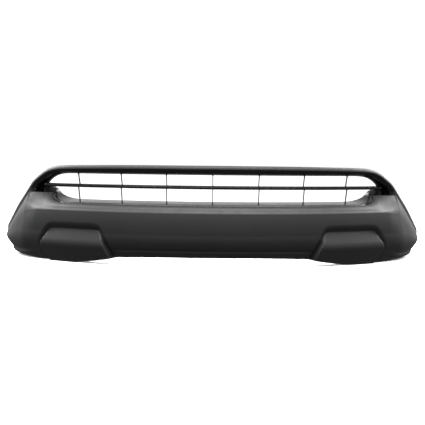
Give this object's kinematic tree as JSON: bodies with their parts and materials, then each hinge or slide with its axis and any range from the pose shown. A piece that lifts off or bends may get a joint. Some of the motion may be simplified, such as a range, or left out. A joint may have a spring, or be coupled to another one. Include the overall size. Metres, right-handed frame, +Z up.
{
  "type": "bumper cover",
  "caption": "Front lower bumper cover in textured plastic with a wide slot, a black ribbed grille insert, skid pads, wing ends and mounting flanges.",
  "frame": {"origin": "centre of the plan box at the level of the lowest edge", "axes": "+Z up, -Y is the front of the vehicle, +X along the width; symmetric across X"},
  "size_m": [1.6538, 0.458, 0.353],
  "materials": {
    "textured_plastic": "fine moulded grain, satin",
    "black_plastic": "semi-gloss",
    "plated_steel": "zinc plated",
    "spring_steel": "phosphated spring steel"
  },
  "bodies": {
    "root": {"cover_skin": "textured_plastic", "grille_insert": "black_plastic", "end_bracket_left": "black_plastic", "end_bracket_right": "black_plastic", "grille_screw_left_1": "plated_steel", "grille_screw_left_2": "plated_steel", "grille_screw_left_3": "plated_steel", "grille_screw_left_4": "plated_steel", "grille_screw_right_1": "plated_steel", "grille_screw_right_2": "plated_steel", "grille_screw_right_3": "plated_steel", "grille_screw_right_4": "plated_steel", "bracket_screw_left_1": "plated_steel", "bracket_screw_left_2": "plated_steel", "bracket_screw_right_1": "plated_steel", "bracket_screw_right_2": "plated_steel", "undertray_nut_left_1": "spring_steel", "undertray_nut_left_2": "spring_steel", "undertray_nut_right_1": "spring_steel", "undertray_nut_right_2": "spring_steel"}
  },
  "joints": []
}
